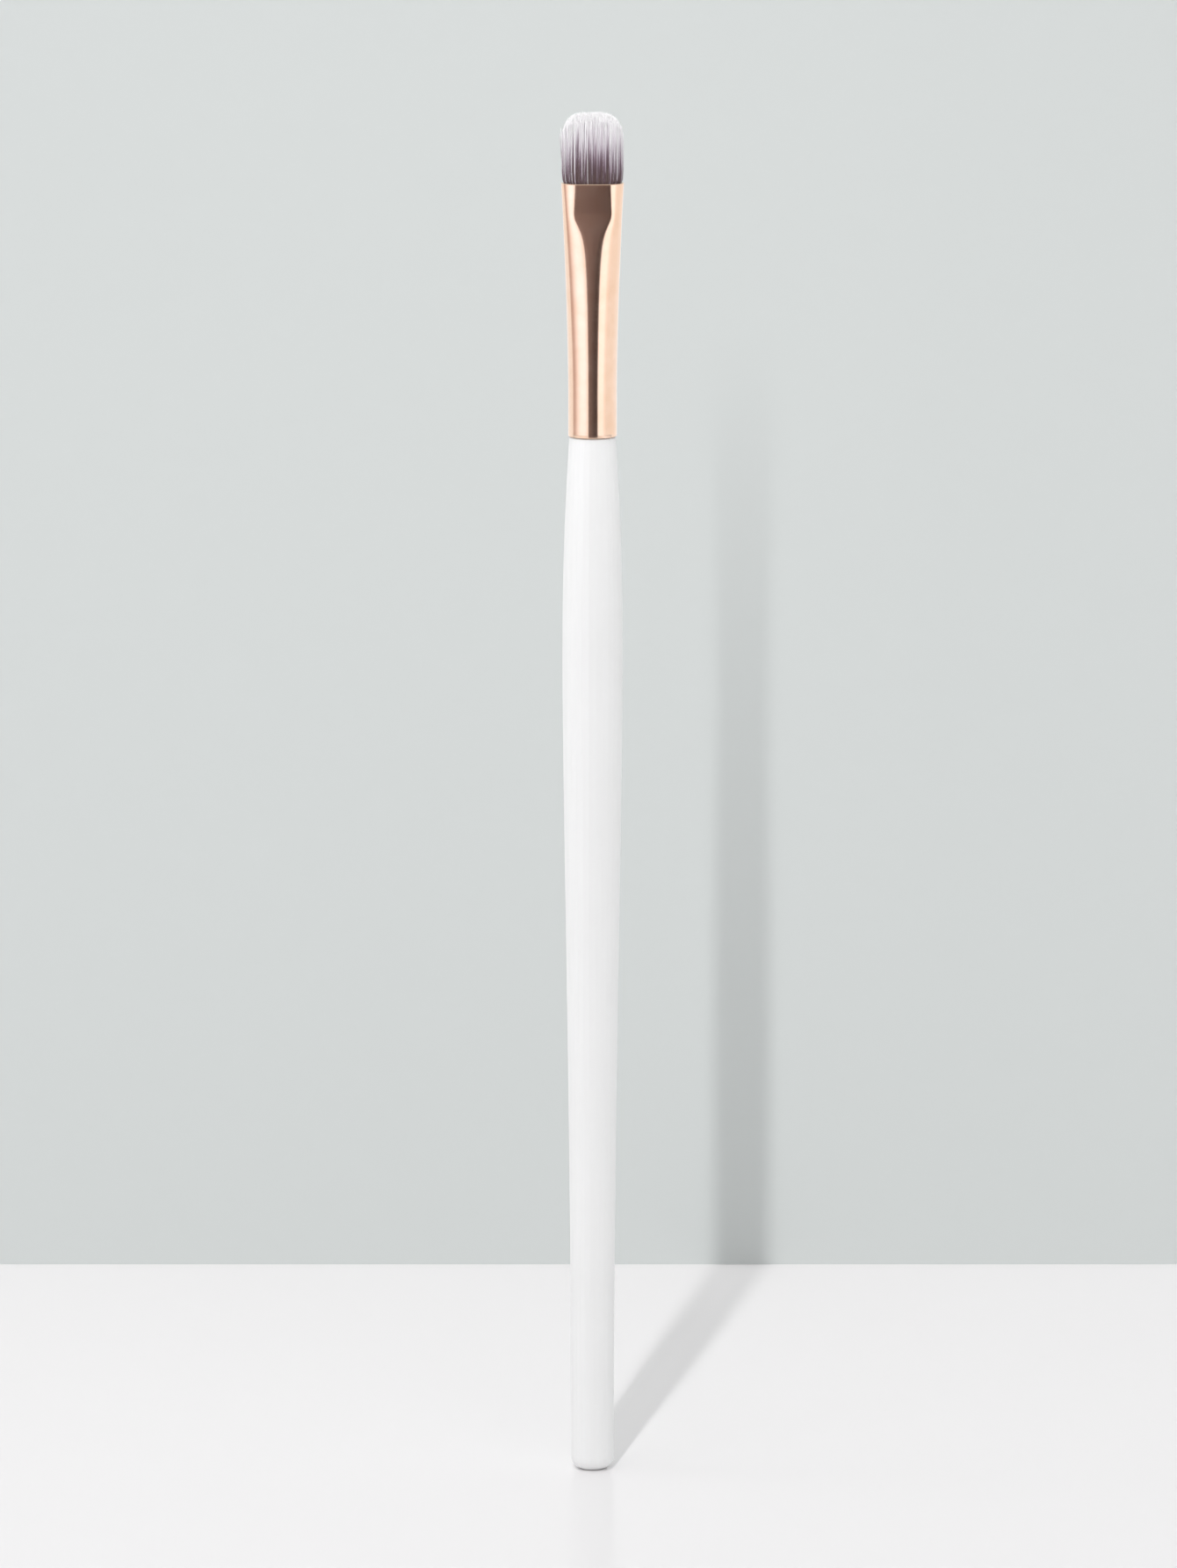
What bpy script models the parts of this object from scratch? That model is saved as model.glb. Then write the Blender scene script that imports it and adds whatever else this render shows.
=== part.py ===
"""Concealer brush: a turned wooden handle, a pressed metal ferrule and a flat tuft with round corners.

The brush stands along +Z with its origin in the middle of the butt's flat foot. The ferrule's pressed
flats face -Y and +Y. All lengths are in metres.
"""

import math
import random

import bmesh
import bpy
from mathutils import Vector
from mathutils.geometry import delaunay_2d_cdt, interpolate_bezier

MM = 0.001

# Clearances between pieces
SEAT_GAP = 0.10 * MM
FILM_GAP = 0.05 * MM

# Handle
TAIL_LENGTH = 104.5 * MM
NECK_LENGTH = 26.9 * MM
BELLY_RADIUS = 3.78 * MM
TAIL_RADIUS = 2.67 * MM
BUTT_ROUND = 1.50 * MM
SHOULDER_STEP = 0.15 * MM
SHOULDER_ROUND = 0.10 * MM
TAIL_LEAN_SHARES = (0.20, 0.52, 0.90)
NECK_LEAN_SHARES = (1 / 3, 2 / 3, 1 / 3)

# Tenon on the handle's end, and the glue round it
TENON_LENGTH = 11.0 * MM
TENON_CHAMFER = 0.40 * MM
GROOVES = 3
GROOVE_WIDTH = 0.90 * MM
GROOVE_DEPTH = 0.20 * MM
ADHESIVE_FILM = 0.15 * MM
ADHESIVE_START = 0.50 * MM

# Ferrule, a round tube pressed flat at its mouth; depths count down from the mouth
TUBE_RADIUS = 3.05 * MM
FERRULE_LENGTH = 31.6 * MM
FERRULE_WALL = 0.30 * MM
RIM_ROUND = 0.08 * MM
MOUTH_HALF_WIDTH = 3.90 * MM
MOUTH_HALF_FLAT = 1.68 * MM
PANEL_HALF_FLAT = 2.07 * MM
FLARE_DEPTH = 26.0 * MM
FLARE_POWER = 1.6
PANEL_DEPTH = 3.8 * MM
PANEL_FADE = 2.0 * MM
FADE_POWER = 2.1
FADE_END = 0.02
FADE_REACH = 11.0 * MM

# Tuft above the mouth; its swell and tips follow the mouth's outside
TUFT_REACH = 8.95 * MM
SIDE_REACH = 4.0 * MM
FACE_DROP = 0.9 * MM
TIP_SCATTER = 0.12 * MM
CROWN_POWER = 3.2
SWELL_REACH = 4.2 * MM
SWELL_OVER_WIDTH = 0.06 * MM
SWELL_UNDER_DEPTH = 0.06 * MM
TIP_DRAW_WIDTH = 0.12 * MM
TIP_DRAW_DEPTH = 0.45 * MM
STRAND_ROWS = 12
STRAND_COLUMNS = 32
STRAND_FILL_SHARE = 0.76
STRAND_DRIFT_SHARE = 0.18
STRAND_LEVEL_SHARES = ((0.45, 1.0), (0.80, 0.85))
SEED = 7

# Roots of the tuft inside the ferrule
ROOT_TOP_DEPTH = 0.30 * MM
BUNDLE_LENGTH = 11.7 * MM
BUNDLE_END = 1.1 * MM
THREAD_DIAMETER = 0.30 * MM
THREAD_TURNS = 4
WAIST_DEPTH = 0.15 * MM
RESIN_GRIP = 2.9 * MM
RESIN_WALL = 0.25 * MM
RESIN_FLOOR = 2.2 * MM

# How finely curves are divided
SIDES = 40
HANDLE_SIDES = 28
TAIL_STEPS = 14
NECK_STEPS = 9
ROUND_STEPS = 5
FLARE_STEPS = 7
PANEL_STEPS = 2
FADE_STEPS = 11
BUNDLE_STEPS = 4
RESIN_STEPS = 4
TURN_STEPS = 3
SHARP_ANGLE = math.radians(40)
MERGE_DISTANCE = 0.00001 * MM

# Places that follow from the sizes above
SHOULDER_HEIGHT = TAIL_LENGTH + NECK_LENGTH
SHOULDER_RADIUS = TUBE_RADIUS - SHOULDER_STEP
TENON_TOP = SHOULDER_HEIGHT + TENON_LENGTH
FERRULE_FOOT = SHOULDER_HEIGHT + SEAT_GAP
MOUTH = FERRULE_FOOT + FERRULE_LENGTH
ROOT_TOP = MOUTH - ROOT_TOP_DEPTH
BUNDLE_FOOT = ROOT_TOP - BUNDLE_LENGTH
THREAD_FOOT = BUNDLE_FOOT + BUNDLE_END
THREAD_TOP = THREAD_FOOT + THREAD_TURNS * THREAD_DIAMETER
RESIN_RIM = BUNDLE_FOOT + RESIN_GRIP


def remove_all_objects():
    for thing in list(bpy.data.objects):
        bpy.data.objects.remove(thing, do_unlink=True)


def material(name, colour, roughness, metallic):
    made = bpy.data.materials.new(name)
    made.use_nodes = True
    shader = made.node_tree.nodes["Principled BSDF"]
    shader.inputs["Base Color"].default_value = (*colour, 1.0)
    shader.inputs["Roughness"].default_value = roughness
    shader.inputs["Metallic"].default_value = metallic
    return made


def add_piece(name, shape, finish):
    """Turns a bmesh into a named object with one material, shaded smooth between its sharp edges."""
    bmesh.ops.recalc_face_normals(shape, faces=shape.faces)
    mesh = bpy.data.meshes.new(name)
    shape.to_mesh(mesh)
    shape.free()
    mesh.materials.append(finish)
    mesh.shade_smooth()
    mesh.set_sharp_from_angle(angle=SHARP_ANGLE)
    piece = bpy.data.objects.new(name, mesh)
    bpy.context.scene.collection.objects.link(piece)
    return piece


def spaced(start, stop, steps):
    """Evenly spaced values from start to stop, both included."""
    return [start + (stop - start) * step / steps for step in range(steps + 1)]


def blended(first, second, share):
    return first + (second - first) * share


def oblong_loop(half_width, half_depth, half_flat, height, sides=SIDES):
    """One level of a piece: a flat front and back, joined by two elliptical ends."""
    loop = []
    for side in range(sides):
        angle = 2 * math.pi * (side + 0.5) / sides
        end_centre = math.copysign(half_flat, math.cos(angle))
        x = end_centre + (half_width - half_flat) * math.cos(angle)
        loop.append(Vector((x, half_depth * math.sin(angle), height)))
    return loop


def round_loop(radius, height, sides=SIDES):
    return oblong_loop(radius, radius, 0.0, height, sides)


def skin_between(shape, lower, upper):
    for index, corner in enumerate(lower):
        after = (index + 1) % len(lower)
        shape.faces.new((corner, lower[after], upper[after], upper[index]))


def solid_of_loops(loops, joined=False):
    """A solid through loops of equal counts: capped at both ends, or its last loop joined to its first."""
    shape = bmesh.new()
    rings = [[shape.verts.new(point) for point in loop] for loop in loops]
    for lower, upper in zip(rings, rings[1:]):
        skin_between(shape, lower, upper)
    if joined:
        skin_between(shape, rings[-1], rings[0])
    else:
        shape.faces.new(rings[0])
        shape.faces.new(rings[-1])
    return shape


def swept_outline(start, stop, lean_shares, steps):
    """Points from start to stop, each a radius and a height, along a curve that leaves start upright.
    The shares give how far along it its two handles lie: the first one's height, then the second one's
    height and radius."""
    first_height, second_height, second_radius = lean_shares
    first = Vector((start[0], blended(start[1], stop[1], first_height), 0))
    second_place = blended(start[0], stop[0], second_radius), blended(start[1], stop[1], second_height)
    curve = interpolate_bezier(
        Vector((*start, 0)), first, Vector((*second_place, 0)), Vector((*stop, 0)), steps + 1
    )
    return [(point.x, point.y) for point in curve]


def handle_outline():
    """The visible handle, from the edge of its flat foot to its shoulder."""
    outline = []
    for step in range(ROUND_STEPS + 1):
        angle = math.pi / 2 * step / ROUND_STEPS
        radius = TAIL_RADIUS - BUTT_ROUND + BUTT_ROUND * math.sin(angle)
        outline.append((radius, BUTT_ROUND - BUTT_ROUND * math.cos(angle)))
    belly = (BELLY_RADIUS, TAIL_LENGTH)
    tail = swept_outline(belly, (TAIL_RADIUS, BUTT_ROUND), TAIL_LEAN_SHARES, TAIL_STEPS)
    outline += reversed(tail[:-1])
    shoulder = (SHOULDER_RADIUS, SHOULDER_HEIGHT - SHOULDER_ROUND)
    outline += swept_outline(belly, shoulder, NECK_LEAN_SHARES, NECK_STEPS)[1:]
    outline.append((SHOULDER_RADIUS - SHOULDER_ROUND, SHOULDER_HEIGHT))
    return outline


def film_radius():
    """The glue's outside, clear of the bore at the tenon's top, where the tube begins to flatten."""
    return ferrule_section(TENON_TOP, FERRULE_WALL)[1] - FILM_GAP


def tenon_radius():
    return film_radius() - ADHESIVE_FILM - FILM_GAP


def tenon_outline(foot, top, clearance):
    """The tenon's side with its glue grooves, grown by a clearance, from foot to top."""
    radius = tenon_radius() + clearance
    outline = [(radius, foot)]
    for groove in range(GROOVES):
        middle = SHOULDER_HEIGHT + TENON_LENGTH * (groove + 1) / (GROOVES + 1)
        half = GROOVE_WIDTH / 2 - clearance
        outline.append((radius, middle - half))
        outline.append((radius - GROOVE_DEPTH, middle - half))
        outline.append((radius - GROOVE_DEPTH, middle + half))
        outline.append((radius, middle + half))
    outline.append((radius, top))
    return outline


def make_handle():
    outline = handle_outline()
    outline += tenon_outline(SHOULDER_HEIGHT, TENON_TOP - TENON_CHAMFER, 0.0)
    outline.append((tenon_radius() - TENON_CHAMFER, TENON_TOP))
    shape = solid_of_loops([round_loop(radius, height, HANDLE_SIDES) for radius, height in outline])
    lacquer = material("white_lacquer", (0.855, 0.855, 0.855), 0.38, 0.0)
    add_piece("handle", shape, lacquer)


def make_tenon_adhesive():
    """A glue film between tenon and ferrule, with a ring of glue in each groove."""
    foot = SHOULDER_HEIGHT + ADHESIVE_START
    top = TENON_TOP - TENON_CHAMFER
    outline = tenon_outline(foot, top, FILM_GAP)
    outline += [(film_radius(), top), (film_radius(), foot)]
    loops = [round_loop(radius, height) for radius, height in outline]
    glue = material("set_glue", (0.75, 0.62, 0.36), 0.35, 0.0)
    add_piece("tenon_adhesive", solid_of_loops(loops, joined=True), glue)


def ferrule_section(height, inset):
    """Half-width, half-depth and half-flat of the ferrule at a height, drawn in from its outside.
    The pressed tube keeps the girth that it had when it was round."""
    depth = MOUTH - height
    flare = max(0.0, 1 - depth / FLARE_DEPTH) ** FLARE_POWER
    half_width = blended(TUBE_RADIUS, MOUTH_HALF_WIDTH, flare)
    if depth < PANEL_DEPTH:
        half_flat = blended(MOUTH_HALF_FLAT, PANEL_HALF_FLAT, depth / PANEL_DEPTH)
    else:
        fade = 1 / (1 + ((depth - PANEL_DEPTH) / PANEL_FADE) ** FADE_POWER)
        half_flat = PANEL_HALF_FLAT * max(0.0, fade - FADE_END) / (1 - FADE_END)
    end_axes = 2 * TUBE_RADIUS - 4 * half_flat / math.pi
    half_depth = end_axes - (half_width - half_flat)
    return half_width - inset, half_depth - inset, half_flat


def ferrule_loop(height, inset):
    return oblong_loop(*ferrule_section(height, inset), height)


def make_ferrule():
    flare_foot = MOUTH - FLARE_DEPTH
    panel_foot = MOUTH - PANEL_DEPTH
    fade_foot = panel_foot - FADE_REACH
    levels = [FERRULE_FOOT + RIM_ROUND]
    levels += spaced(flare_foot, fade_foot, FLARE_STEPS)
    levels += spaced(fade_foot, panel_foot, FADE_STEPS)[1:]
    levels += spaced(panel_foot, MOUTH - RIM_ROUND, PANEL_STEPS)[1:]
    inner_edge = FERRULE_WALL - RIM_ROUND
    loops = [ferrule_loop(FERRULE_FOOT, RIM_ROUND)]
    loops += [ferrule_loop(level, 0.0) for level in levels]
    loops += [ferrule_loop(MOUTH, RIM_ROUND), ferrule_loop(MOUTH, inner_edge)]
    loops += [ferrule_loop(level, FERRULE_WALL) for level in reversed(levels)]
    loops.append(ferrule_loop(FERRULE_FOOT, inner_edge))
    rose_gold = material("rose_gold_metal", (0.91, 0.66, 0.49), 0.16, 1.0)
    add_piece("ferrule", solid_of_loops(loops, joined=True), rose_gold)


def recess_radius():
    """The round recess in the resin, which leaves the resin its wall inside the narrow way of the bore."""
    bore_half_depth = ferrule_section(RESIN_RIM, FERRULE_WALL)[1]
    return bore_half_depth - SEAT_GAP - RESIN_WALL


def thread_inner_radius():
    return recess_radius() - SEAT_GAP - THREAD_DIAMETER


def bundle_radius():
    """The tied bundle of filaments, which the thread draws in at its waist."""
    return thread_inner_radius() - FILM_GAP + WAIST_DEPTH


def tuft_root_section():
    """The roots where they leave their setting, just clear of the bore."""
    return ferrule_section(MOUTH, FERRULE_WALL + SEAT_GAP)


def tuft_half_size(root, swell, draw, reach):
    """Half the tuft's width or depth at a height over the mouth: it swells above its root, and is drawn
    in again towards the tips."""
    if reach < SWELL_REACH:
        rise = (reach + ROOT_TOP_DEPTH) / (SWELL_REACH + ROOT_TOP_DEPTH)
        return blended(root, swell, rise**2 * (3 - 2 * rise))
    fall = (reach - SWELL_REACH) / (TUFT_REACH - SWELL_REACH)
    return swell - draw * fall**2


def strand_shares(chance):
    """Each strand's place in the root section, as shares of its half-width and half-depth, row by row,
    with a little drift inside the air round it."""
    half_width, _, half_flat = tuft_root_section()
    drift = STRAND_DRIFT_SHARE / STRAND_ROWS
    places = []
    for row in range(STRAND_ROWS):
        across = (2 * row + 1) / STRAND_ROWS - 1
        outer_edge = min(1.0, abs(across) + 1 / STRAND_ROWS)
        end_share = math.sqrt(1 - outer_edge**2)
        row_share = blended(half_flat, half_width, end_share) / half_width
        count = round(STRAND_COLUMNS * row_share)
        for column in range(count):
            along = (2 * column + 1) / count - 1
            places.append((along * row_share, across + chance.uniform(-drift, drift)))
    return places


def strand_reach(along, across, scatter):
    """How far a strand's tip stands over the mouth: the crown is flat with round corners."""
    crown = (1 - abs(along) ** CROWN_POWER) ** (1 / CROWN_POWER)
    top = blended(SIDE_REACH, TUFT_REACH - TIP_SCATTER, crown)
    return top - FACE_DROP * across**2 + TIP_SCATTER * scatter


def strand_centre(place, reach):
    root_width, root_depth, _ = tuft_root_section()
    mouth_width, mouth_depth, _ = ferrule_section(MOUTH, 0.0)
    swell_width = mouth_width + SWELL_OVER_WIDTH
    swell_depth = mouth_depth - SWELL_UNDER_DEPTH
    half_width = tuft_half_size(root_width, swell_width, TIP_DRAW_WIDTH, reach)
    half_depth = tuft_half_size(root_depth, swell_depth, TIP_DRAW_DEPTH, reach)
    return Vector((place[0] * half_width, place[1] * half_depth, MOUTH + reach))


def triangle_at(centre, radius, turn):
    corners = []
    for side in range(3):
        angle = turn + 2 * math.pi * side / 3
        corners.append(centre + Vector((radius * math.cos(angle), radius * math.sin(angle), 0)))
    return corners


def strand_radius():
    """Half the pitch of rows or columns, whichever is closer, less the air between strands."""
    root_width, root_depth, _ = tuft_root_section()
    return STRAND_FILL_SHARE * min(root_depth / STRAND_ROWS, root_width / STRAND_COLUMNS)


def grow_strand(shape, base, place, turn, scatter):
    """Three sides up from a base triangle, through two levels, to a point."""
    reach = strand_reach(*place, scatter)
    ring = base
    for height_share, width_share in STRAND_LEVEL_SHARES:
        centre = strand_centre(place, reach * height_share)
        corners = triangle_at(centre, strand_radius() * width_share, turn)
        upper = [shape.verts.new(corner) for corner in corners]
        skin_between(shape, ring, upper)
        ring = upper
    tip = shape.verts.new(strand_centre(place, reach))
    for side in range(3):
        shape.faces.new((ring[side], ring[(side + 1) % 3], tip))


def bundle_loops():
    """The bundle inside the ferrule below its top level: it narrows until it is round where the resin
    begins, and its waist is drawn in by the thread."""
    radius = bundle_radius()
    waist = radius - WAIST_DEPTH
    half_width, half_depth, half_flat = tuft_root_section()
    loops = []
    for share in spaced(0.0, 1.0, BUNDLE_STEPS)[1:]:
        width = blended(half_width, radius, share)
        depth = blended(half_depth, radius, share**2)
        flat = blended(half_flat, 0.0, share)
        loops.append(oblong_loop(width, depth, flat, blended(ROOT_TOP, RESIN_RIM, share)))
    waist_top = THREAD_TOP + FILM_GAP
    waist_foot = THREAD_FOOT - FILM_GAP
    loops.append(round_loop(radius, waist_top))
    loops.append(round_loop(waist, waist_top))
    loops.append(round_loop(waist, waist_foot))
    loops.append(round_loop(radius, waist_foot))
    loops.append(round_loop(radius, BUNDLE_FOOT))
    return loops


def lay_root_top(shape, places, turns):
    """Faces over the bundle's top level, left open at a triangle under each strand. Returns the
    vertices of the level's rim and of each triangle."""
    root_width, root_depth, _ = tuft_root_section()
    corners = oblong_loop(*tuft_root_section(), ROOT_TOP)
    outlines = [list(range(SIDES))]
    for place, turn in zip(places, turns):
        centre = Vector((place[0] * root_width, place[1] * root_depth, ROOT_TOP))
        outlines.append([len(corners) + side for side in range(3)])
        corners += triangle_at(centre, strand_radius(), turn)
    inside_only = 1
    found, _, faces, found_from, _, faces_from = delaunay_2d_cdt(
        [corner.xy for corner in corners], [], outlines, inside_only, MERGE_DISTANCE
    )
    vertices = [shape.verts.new((*point, ROOT_TOP)) for point in found]
    placed = {}
    for vertex, sources in zip(vertices, found_from):
        placed.update((source, vertex) for source in sources)
    for face, sources in zip(faces, faces_from):
        if sources == [0]:
            shape.faces.new([vertices[index] for index in face])
    return [[placed[index] for index in outline] for outline in outlines]


def make_bristle_tuft():
    """Strands that stand on the top level of the bundle of roots, which the resin has set into one block."""
    chance = random.Random(SEED)
    places = strand_shares(chance)
    turns = [chance.uniform(0, 2 * math.pi) for _ in places]
    shape = bmesh.new()
    lower, *bases = lay_root_top(shape, places, turns)
    for base, place, turn in zip(bases, places, turns):
        grow_strand(shape, base, place, turn, chance.uniform(-1, 1))
    for loop in bundle_loops():
        upper, lower = lower, [shape.verts.new(point) for point in loop]
        skin_between(shape, lower, upper)
    shape.faces.new(lower)
    fibre = material("filament", (0.42, 0.34, 0.38), 0.55, 0.0)
    add_piece("bristle_tuft", shape, fibre)


def make_binding_thread():
    """Turns of thread round the bundle's waist, side by side as one band."""
    inner = thread_inner_radius()
    radius = THREAD_DIAMETER / 2
    outline = [(inner, THREAD_TOP), (inner, THREAD_FOOT)]
    for turn in range(THREAD_TURNS):
        middle = THREAD_FOOT + THREAD_DIAMETER * (turn + 0.5)
        for step in range(TURN_STEPS):
            angle = math.pi * (step + 0.5) / TURN_STEPS - math.pi / 2
            outline.append(
                (inner + radius + radius * math.cos(angle), middle + radius * math.sin(angle))
            )
    loops = [round_loop(radius, height) for radius, height in outline]
    thread = material("thread", (0.80, 0.78, 0.72), 0.85, 0.0)
    add_piece("binding_thread", solid_of_loops(loops, joined=True), thread)


def make_head_resin():
    """Set resin behind and round the roots: it fills the bore, with a recess that holds the bundle."""
    inset = FERRULE_WALL + SEAT_GAP
    recess_floor = BUNDLE_FOOT - SEAT_GAP
    foot = recess_floor - RESIN_FLOOR
    loops = [ferrule_loop(level, inset) for level in spaced(foot, RESIN_RIM, RESIN_STEPS)]
    loops.append(round_loop(recess_radius(), RESIN_RIM))
    loops.append(round_loop(recess_radius(), recess_floor))
    resin = material("clear_resin", (0.72, 0.64, 0.45), 0.20, 0.0)
    add_piece("head_resin", solid_of_loops(loops), resin)


remove_all_objects()
make_handle()
make_tenon_adhesive()
make_ferrule()
make_bristle_tuft()
make_binding_thread()
make_head_resin()
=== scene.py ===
"""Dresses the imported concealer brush: lacquered handle, rose-gold ferrule and a tuft of fine filaments."""

import collections
import math
import random

import bpy
import numpy as np
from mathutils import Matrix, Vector


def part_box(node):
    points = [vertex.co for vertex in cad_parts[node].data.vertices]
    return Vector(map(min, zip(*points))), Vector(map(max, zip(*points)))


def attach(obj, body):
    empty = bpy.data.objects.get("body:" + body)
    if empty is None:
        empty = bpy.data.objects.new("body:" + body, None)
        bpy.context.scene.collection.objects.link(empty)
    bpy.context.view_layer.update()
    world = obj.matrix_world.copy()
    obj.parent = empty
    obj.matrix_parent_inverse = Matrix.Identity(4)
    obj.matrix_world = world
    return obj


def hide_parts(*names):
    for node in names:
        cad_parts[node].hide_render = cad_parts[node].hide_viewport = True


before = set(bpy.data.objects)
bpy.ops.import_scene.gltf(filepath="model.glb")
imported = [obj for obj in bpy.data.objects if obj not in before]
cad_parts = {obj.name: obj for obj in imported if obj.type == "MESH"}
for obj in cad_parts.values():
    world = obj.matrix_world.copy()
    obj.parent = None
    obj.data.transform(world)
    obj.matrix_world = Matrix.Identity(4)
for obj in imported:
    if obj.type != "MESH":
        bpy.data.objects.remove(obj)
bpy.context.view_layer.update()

# Handle
# Turned hardwood, one piece from the rounded butt to the tenon that is glued into the ferrule. It is
# sprayed with white satin lacquer and rubbed down, so the grain is only felt under a faint ripple.

MM = 0.001
LACQUER_WHITE = "#F1F1F1"
LACQUER_AGED = "#EEEEEE"
SPRAY_RIPPLE = 1.3 * MM
SPRAY_RIPPLE_HEIGHT = 0.004 * MM
GRAIN_WIDTH = 0.35 * MM
GRAIN_LENGTH = 14.0 * MM
GRAIN_HEIGHT = 0.002 * MM
HANDLING_PATCH = 16.0 * MM
LACQUER_ROUGHNESS = (0.36, 0.42)


def linear(colour):
    """An sRGB hex colour as linear red, green, blue and alpha."""
    channels = [int(colour[place : place + 2], 16) / 255 for place in (1, 3, 5)]
    return [c / 12.92 if c <= 0.04045 else ((c + 0.055) / 1.055) ** 2.4 for c in channels] + [1.0]


def add_node(tree, kind, settings, inputs):
    """Adds a node. An input that is given a socket is linked to it, and any other is set."""
    node = tree.nodes.new(kind)
    for name, value in settings.items():
        setattr(node, name, value)
    for name, value in inputs.items():
        if isinstance(value, bpy.types.NodeSocket):
            tree.links.new(value, node.inputs[name])
        else:
            node.inputs[name].default_value = value
    return node


def start_material(name):
    """A new material, its node tree and its shader."""
    made = bpy.data.materials.new(name)
    made.use_nodes = True
    return made, made.node_tree, made.node_tree.nodes["Principled BSDF"]


# Sprayed satin lacquer, IOR about 1.5: a soft broad sheen with a slight ripple, never a sharp reflection.
lacquer, tree, shader = start_material("satin_lacquer_on_turned_wood")
place = add_node(tree, "ShaderNodeTexCoord", {}, {}).outputs["Object"]
patches = add_node(
    tree, "ShaderNodeTexNoise", {}, {"Vector": place, "Scale": 1 / HANDLING_PATCH, "Detail": 3.0}
)
ageing = add_node(tree, "ShaderNodeValToRGB", {}, {"Fac": patches.outputs["Fac"]})
ageing.color_ramp.elements[0].position = 0.30
ageing.color_ramp.elements[0].color = linear(LACQUER_AGED)
ageing.color_ramp.elements[1].position = 0.70
ageing.color_ramp.elements[1].color = linear(LACQUER_WHITE)
rubbed = add_node(
    tree,
    "ShaderNodeMapRange",
    {},
    {"Value": patches.outputs["Fac"], "To Min": LACQUER_ROUGHNESS[0], "To Max": LACQUER_ROUGHNESS[1]},
)
ripple = add_node(tree, "ShaderNodeTexNoise", {}, {"Vector": place, "Scale": 1 / SPRAY_RIPPLE, "Detail": 1.0})
ripple_bump = add_node(
    tree, "ShaderNodeBump", {}, {"Distance": SPRAY_RIPPLE_HEIGHT, "Height": ripple.outputs["Fac"]}
)
along_grain = add_node(
    tree,
    "ShaderNodeMapping",
    {},
    {"Vector": place, "Scale": (1 / GRAIN_WIDTH, 1 / GRAIN_WIDTH, 1 / GRAIN_LENGTH)},
)
grain = add_node(
    tree, "ShaderNodeTexNoise", {}, {"Vector": along_grain.outputs["Vector"], "Scale": 1.0, "Detail": 4.0}
)
grain_bump = add_node(
    tree,
    "ShaderNodeBump",
    {},
    {"Distance": GRAIN_HEIGHT, "Height": grain.outputs["Fac"], "Normal": ripple_bump.outputs["Normal"]},
)
tree.links.new(ageing.outputs["Color"], shader.inputs["Base Color"])
tree.links.new(rubbed.outputs["Result"], shader.inputs["Roughness"])
tree.links.new(grain_bump.outputs["Normal"], shader.inputs["Normal"])
shader.inputs["IOR"].default_value = 1.5
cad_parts["handle"].material_slots[0].material = lacquer

# Glue film on the tenon
# Wood glue that was brushed on the tenon and squeezed thin when the ferrule was driven on. It set hard
# and yellowish, with small bubbles where it fills the tenon's grooves.

GLUE_PALE = "#D9C68E"
GLUE_DEEP = "#B99A55"
GLUE_BUBBLE = 0.45 * MM

glue, tree, shader = start_material("set_wood_glue")
place = add_node(tree, "ShaderNodeTexCoord", {}, {}).outputs["Object"]
bubbles = add_node(tree, "ShaderNodeTexVoronoi", {}, {"Vector": place, "Scale": 1 / GLUE_BUBBLE})
glue_colour = add_node(tree, "ShaderNodeValToRGB", {}, {"Fac": bubbles.outputs["Distance"]})
glue_colour.color_ramp.elements[0].position = 0.15
glue_colour.color_ramp.elements[0].color = linear(GLUE_DEEP)
glue_colour.color_ramp.elements[1].position = 0.55
glue_colour.color_ramp.elements[1].color = linear(GLUE_PALE)
tree.links.new(glue_colour.outputs["Color"], shader.inputs["Base Color"])
shader.inputs["Roughness"].default_value = 0.35
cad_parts["tenon_adhesive"].material_slots[0].material = glue

# Ferrule
# A seamless aluminium tube, drawn, polished and anodised rose gold. Its lower end stays round to take the
# handle, and its upper end is pressed between flat dies, so that its mouth widens as its depth shrinks.

TUBE_RADIUS = 3.05 * MM
WALL = 0.30 * MM
MOUTH_HALF_WIDTH = 3.90 * MM
MOUTH_HALF_FLAT = 1.68 * MM
FLARE_DEPTH = 26.0 * MM
FLARE_POWER = 1.6
PANEL_HALF_FLAT = 2.07 * MM
PANEL_DEPTH = 3.8 * MM
PANEL_FADE = 2.0 * MM
FADE_POWER = 2.1
FADE_END = 0.02
PANEL_CROWN = 0.05 * MM
FERRULE_SIDES = 160
FERRULE_LEVELS = 72
QUARTER_STEPS = 60
MOUTH_ROUND = 0.13 * MM
FOOT_ROUND = 0.04 * MM
RIM_STEPS = 4
FERRULE_CREASE = math.radians(50)
ROSE_GOLD = "#FBD8BE"
ROSE_GOLD_DEEP = "#F6CFB2"
DRAW_LINE_WIDTH = 0.06 * MM
DRAW_LINE_LENGTH = 9.0 * MM
DRAW_LINE_HEIGHT = 0.00012 * MM
POLISH_PATCH = 2.4 * MM
OXIDE_ROUGHNESS = (0.11, 0.17)

ferrule_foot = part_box("ferrule")[0].z
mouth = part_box("ferrule")[1].z


def blended(first, second, share):
    return first + (second - first) * share


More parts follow.
